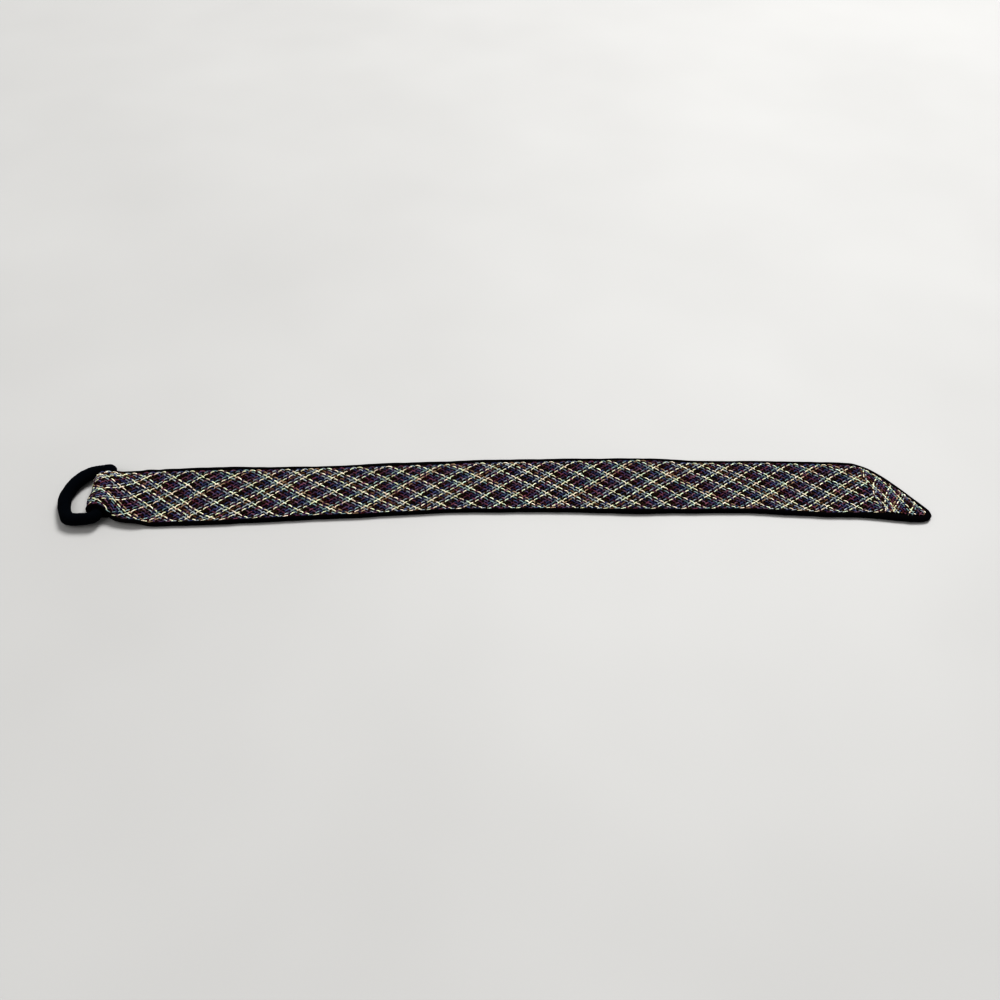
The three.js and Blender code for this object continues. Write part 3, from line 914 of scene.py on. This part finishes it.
def ring_piece(material):
    """The ring's padded cover, and its surface as a grid of points that ends where it began."""
    line = ring_line()
    n, m = len(line), RING_SIDES
    along = unit(np.roll(line, -1, 0) - np.roll(line, 1, 0))
    inward = np.stack([along[:, 1], -along[:, 0]], 1)
    facing = np.degrees(np.arctan2(line[:, 1], line[:, 0] - RING_MIDDLE))
    length = np.cumsum(np.linalg.norm(line - np.roll(line, 1, 0), axis=1))
    loop = (length / length[-1] * 2 * math.pi)[:, None]
    turns = np.linspace(0, 2 * math.pi, m, endpoint=False)
    pucker = sum(
        height * np.sin(lengthwise * loop + crosswise * turns + phase + sway * np.sin(5 * loop))
        for height, lengthwise, crosswise, phase, sway in RING_PUCKERS
    )
    seam = -SEAM_DEPTH * np.exp(-((np.cos(turns) - SEAM_PLACE) / SEAM_WIDTH) ** 2)
    radius = TUBE_RADIUS - COVER_ROOM + pucker + seam
    fuller = rows_at(RING_FULLNESS, facing)[:, None] * (1 - np.cos(turns)) / 2
    flat = line[:, None, :] + inward[:, None, :] * (radius * np.cos(turns) - fuller)[..., None]
    rings = ring_to_world(np.concatenate([flat, (radius * np.sin(turns))[..., None]], -1))
    rings[..., 2] = np.maximum(rings[..., 2], FLOOR_ROOM)
    quads, places = grid_quads(n + 1, m)
    lengths = np.append(0, length)
    uv = np.stack([lengths[places[..., 0]], places[..., 1] / m * 2 * math.pi * TUBE_RADIUS], -1)
    piece = add_mesh("ring_cover", material, rings.reshape(-1, 3), quads % (n * m), (), uv.reshape(-1, 2))
    return piece, np.concatenate([rings, rings[:1]])


def ring_nap(surface, material):
    """Short leaning fibres over the ring's surface, as thin closed spikes in one mesh."""
    own = np.random.default_rng(5)
    n, m = surface.shape[:2]
    along = np.gradient(surface, axis=0)
    around = np.roll(surface, -1, 1) - np.roll(surface, 1, 1)
    normal = unit(np.cross(around, along))

    # Twice the places are drawn, and the first half of them is used
    i = own.integers(1, n - 1, NAP_COUNT * 2)[:NAP_COUNT]
    j = own.integers(0, m, NAP_COUNT * 2)[:NAP_COUNT]
    shift = own.uniform(-0.5, 0.5, (NAP_COUNT, 2))
    root = surface[i, j] + along[i, j] * shift[:, :1] + around[i, j] * shift[:, 1:] / 2
    lean = own.normal(0, NAP_STRAY, (NAP_COUNT, 3))
    out = unit(normal[i, j] + lean * NAP_LEAN)
    reach = own.uniform(*NAP_REACH, NAP_COUNT)[:, None] * NAP_LENGTH
    vertices, quads, triangles = spikes(root - out * NAP_DEPTH, out, unit(lean), reach, NAP_WIDTH, own)
    return add_mesh("ring_nap", material, vertices, quads, triangles)


# Materials

class Look:
    """The nodes of one material. A call takes sockets or numbers, and gives back the new socket."""

    def __init__(self, name):
        self.material = bpy.data.materials.new(name)
        self.material.use_nodes = True
        self.tree = self.material.node_tree
        self.shader = self.tree.nodes["Principled BSDF"]

    def node(self, kind, inputs=(), **settings):
        """A new node with its settings, and with its inputs linked or set."""
        node = self.tree.nodes.new(kind)
        for name, value in settings.items():
            setattr(node, name, value)
        for key, value in dict(inputs).items():
            if isinstance(value, bpy.types.NodeSocket):
                self.tree.links.new(value, node.inputs[key])
            else:
                node.inputs[key].default_value = value
        return node

    def texture_place(self):
        """Place in the texture, and its millimetres along and around the piece."""
        place = self.node("ShaderNodeUVMap", uv_map="UVMap").outputs["UV"]
        parts = self.node("ShaderNodeSeparateXYZ", {0: place}).outputs
        return place, parts["X"], parts["Y"]

    def math(self, operation, *values):
        return self.node("ShaderNodeMath", enumerate(values), operation=operation).outputs[0]

    def noise(self, place, scale, detail=2):
        inputs = {"Vector": place, "Scale": scale, "Detail": detail}
        return self.node("ShaderNodeTexNoise", inputs).outputs["Fac"]

    def ramp(self, value, stops):
        """A colour that changes with a value, through stops of a place and a colour."""
        node = self.node("ShaderNodeValToRGB", {"Fac": value})
        elements = node.color_ramp.elements
        while len(elements) < len(stops):
            elements.new(0.5)
        for element, (place, colour) in zip(elements, stops):
            element.position = place
            element.color = (*colour, 1)
        return node.outputs["Color"]

    def multiply(self, colour, by):
        inputs = {"Factor": 1, "A": colour, "B": by}
        return self.node("ShaderNodeMix", inputs, data_type="RGBA", blend_type="MULTIPLY").outputs["Result"]

    def relief(self, height, strength, depth):
        """Bump of a depth in millimetres."""
        bump = self.node("ShaderNodeBump", {"Height": height, "Strength": strength, "Distance": depth * MM})
        self.tree.links.new(bump.outputs["Normal"], self.shader.inputs["Normal"])

    def finish(self, colour, roughness, gloss):
        self.tree.links.new(colour, self.shader.inputs["Base Color"])
        self.shader.inputs["Roughness"].default_value = roughness
        self.shader.inputs["Specular IOR Level"].default_value = gloss
        return self.material


def yarn_material(name, dark, body, light, tints=None):
    """Soft two-ply yarn: twist along its length, with painted shade in the grooves between the plies, fine
    fibres, and slow changes of shade.
    """
    look = Look(name)
    place, along, around = look.texture_place()
    girth = look.math("MULTIPLY", around, 2 / (2 * math.pi * YARN["wide"]))
    twist = look.math("MULTIPLY_ADD", along, 1 / PLY_LENGTH, girth)
    wave = look.math("SINE", look.math("MULTIPLY", twist, 2 * math.pi))
    ply = look.node("ShaderNodeMapRange", {"Value": wave, "From Min": -1}).outputs["Result"]
    drawn_out = look.node("ShaderNodeMapping", {"Vector": place, "Scale": (0.5, 3.0, 1.0)})
    fibres = look.noise(drawn_out.outputs["Vector"], scale=1.6, detail=4)
    slow = look.noise(place, scale=0.09)
    blend = look.node("ShaderNodeMix", {"Factor": 0.45, "A": slow, "B": fibres})
    colour = look.ramp(blend.outputs["Result"], [(0.36, dark), (0.5, body), (0.64, light)])
    if tints:
        colour = look.multiply(colour, look.ramp(look.noise(place, scale=0.17, detail=1), tints))
    # Painted shade: the colour is darkened to 0.55 in the grooves between the plies, where the twist's wave
    # is lowest.
    groove_shade = look.ramp(ply, [(0.0, (0.55, 0.55, 0.55)), (0.45, (1, 1, 1))])
    look.relief(look.math("MULTIPLY_ADD", fibres, 0.6, ply), strength=0.7, depth=0.25)
    return look.finish(look.multiply(colour, groove_shade), roughness=0.85, gloss=0.02)


def knit_material(name, dark, light, wale, course):
    """Fine black knit: columns and rows of small V stitches, of a width and a height in millimetres, with
    painted shade in their hollows.
    """
    look = Look(name)
    place, along, around = look.texture_place()
    fold = look.math("PINGPONG", look.math("DIVIDE", around, wale), 0.5)
    lean = look.math("MULTIPLY_ADD", fold, 1.1, look.math("DIVIDE", along, course))
    stitch = look.math("SINE", look.math("MULTIPLY", lean, 2 * math.pi))
    rib = look.math("SINE", look.math("MULTIPLY", fold, 2 * math.pi))
    height = look.math("MULTIPLY", look.math("MULTIPLY_ADD", stitch, 0.5, 0.6), rib)
    height = look.math("MULTIPLY_ADD", look.noise(place, scale=0.8, detail=5), 0.5, height)
    look.relief(height, strength=0.6, depth=0.22)
    look.shader.inputs["Sheen Weight"].default_value = 0.004
    look.shader.inputs["Sheen Roughness"].default_value = 0.45
    # Painted shade: the colour follows the relief, from the dark tone where the stitches are low to the
    # light tone where they are high.
    tone = look.ramp(height, [(0.2, dark), (1.0, light)])
    return look.finish(tone, roughness=0.9, gloss=0.02)


def speckled_material(name, scale, stops, roughness, gloss):
    """One matte tone with a little variation from place to place."""
    look = Look(name)
    speckle = look.noise(look.node("ShaderNodeTexCoord").outputs["Object"], scale)
    return look.finish(look.ramp(speckle, stops), roughness, gloss)


# Dark, body and light shade of each yarn
YARN_SHADES = {
    "cream": ((0.31, 0.285, 0.235), (0.66, 0.635, 0.55), (0.86, 0.86, 0.82)),
    "slate": ((0.065, 0.076, 0.095), (0.232, 0.258, 0.282), (0.46, 0.5, 0.5)),
    "teal": ((0.045, 0.083, 0.092), (0.165, 0.23, 0.236), (0.34, 0.43, 0.41)),
    "tan": ((0.085, 0.05, 0.032), (0.26, 0.18, 0.12), (0.48, 0.37, 0.28)),
    "rust": ((0.032, 0.016, 0.009), (0.1, 0.055, 0.028), (0.26, 0.165, 0.11)),
    "umber": ((0.004, 0.0022, 0.0014), (0.021, 0.011, 0.0056), (0.06, 0.035, 0.02)),
    "wine": ((0.006, 0.0015, 0.002), (0.032, 0.0062, 0.0088), (0.09, 0.023, 0.03)),
    "maroon": ((0.025, 0.008, 0.014), (0.1, 0.035, 0.053), (0.23, 0.088, 0.13)),
    "plum": ((0.02, 0.012, 0.017), (0.091, 0.049, 0.069), (0.23, 0.125, 0.17)),
    "violet": ((0.012, 0.009, 0.02), (0.054, 0.036, 0.076), (0.14, 0.1, 0.19)),
    "indigo": ((0.008, 0.007, 0.018), (0.032, 0.028, 0.074), (0.1, 0.09, 0.19)),
    "navy": ((0.008, 0.009, 0.021), (0.033, 0.038, 0.085), (0.09, 0.105, 0.205)),
    "black": ((0.0005, 0.0005, 0.0007), (0.0012, 0.0011, 0.0016), (0.003, 0.0028, 0.004)),
}

# Casts that drift along the light yarn: peach, cream, yellow green and mint
CREAM_TINTS = [
    (0.36, (1, 0.84, 0.76)), (0.46, (1, 0.96, 0.88)),
    (0.55, (0.95, 1, 0.7)), (0.66, (0.82, 1, 0.94)),
]


def make_floor():
    """A matte pale floor, larger than the camera sees."""
    half = 6.0
    mesh = bpy.data.meshes.new("floor")
    corners = [(-half, -half, 0), (half, -half, 0), (half, half, 0), (-half, half, 0)]
    mesh.from_pydata(corners, [], [(0, 1, 2, 3)])
    tones = [(0.3, (0.295, 0.292, 0.286)), (0.7, (0.31, 0.307, 0.301))]
    mesh.materials.append(speckled_material("pale_floor", 3, tones, roughness=0.6, gloss=0.3))
    floor = bpy.data.objects.new("floor", mesh)
    bpy.context.scene.collection.objects.link(floor)


def add_light(name, place, target, size, power):
    """A soft square light in metres and watts, turned towards a target."""
    data = bpy.data.lights.new(name, "AREA")
    data.energy = power
    data.size = size
    light = bpy.data.objects.new(name, data)
    light.location = place
    light.rotation_mode = "QUATERNION"
    light.rotation_quaternion = (Vector(target) - Vector(place)).to_track_quat("-Z", "Y")
    bpy.context.scene.collection.objects.link(light)


def light_studio():
    """Even light all round, a large key light from behind, a weak fill in front, and the view."""
    world = bpy.data.worlds.new("studio")
    world.use_nodes = True
    background = world.node_tree.nodes["Background"]
    background.inputs["Color"].default_value = (1, 1, 1, 1)
    background.inputs["Strength"].default_value = 0.50
    bpy.context.scene.world = world
    add_light("key", (2.6, 5.6, 7.9), (0, 0, 0), size=3.9, power=1320)
    add_light("fill", (-2.0, -1.6, 3.0), (-0.1, 0, 0), size=2.6, power=38)
    view = bpy.context.scene.view_settings
    view.view_transform = "Standard"
    view.look = "High Contrast"


def dress(piece, body, slot, *nodes):
    """Puts a piece on its body and in the place of the nodes that it stands for. The slot is not used."""
    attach(piece, body)
    if nodes:
        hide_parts(*nodes)


make_camera()
yarns = {
    name: yarn_material(f"yarn_{name}", *shades, CREAM_TINTS if name == "cream" else None)
    for name, shades in YARN_SHADES.items()
}
# The first tone of each knit is painted shade for the hollows of its stitches, the second the colour of its
# raised stitches.
strap_knit = knit_material(
    "strap_knit", (0.0005, 0.0004, 0.0006), (0.0032, 0.0028, 0.0036), wale=1.5, course=1.1,
)
ring_knit = knit_material(
    "ring_knit", (0.0003, 0.0007, 0.0013), (0.0019, 0.0034, 0.0062), wale=1.3, course=1.0,
)
fibre_tones = [(0.35, (0.0018, 0.00258, 0.0045)), (0.65, (0.003, 0.0043, 0.0075))]
black_fibre = speckled_material("black_fibre", 900, fibre_tones, roughness=0.9, gloss=0.2)

backing = backing_piece(strap_knit)
dress(backing, "strap", "strap_fabric", "backing", "loop_backing")

for name, pile in main_braid().items():
    material = yarns["black" if name.startswith("black") else name]
    dress(pile.build(f"braid_{name}", material), "strap", "braid_yarn", "braid_panel", "loop_braid")
for name, pile in flap_braid().items():
    dress(pile.build(f"flap_{name}", yarns[name]), "strap", "braid_yarn", "tip_panel")

ring, ring_surface = ring_piece(ring_knit)
dress(ring, "ring", "ring_fabric", "ring")
dress(ring_nap(ring_surface, black_fibre), "ring", "ring_fabric")

make_floor()
light_studio()
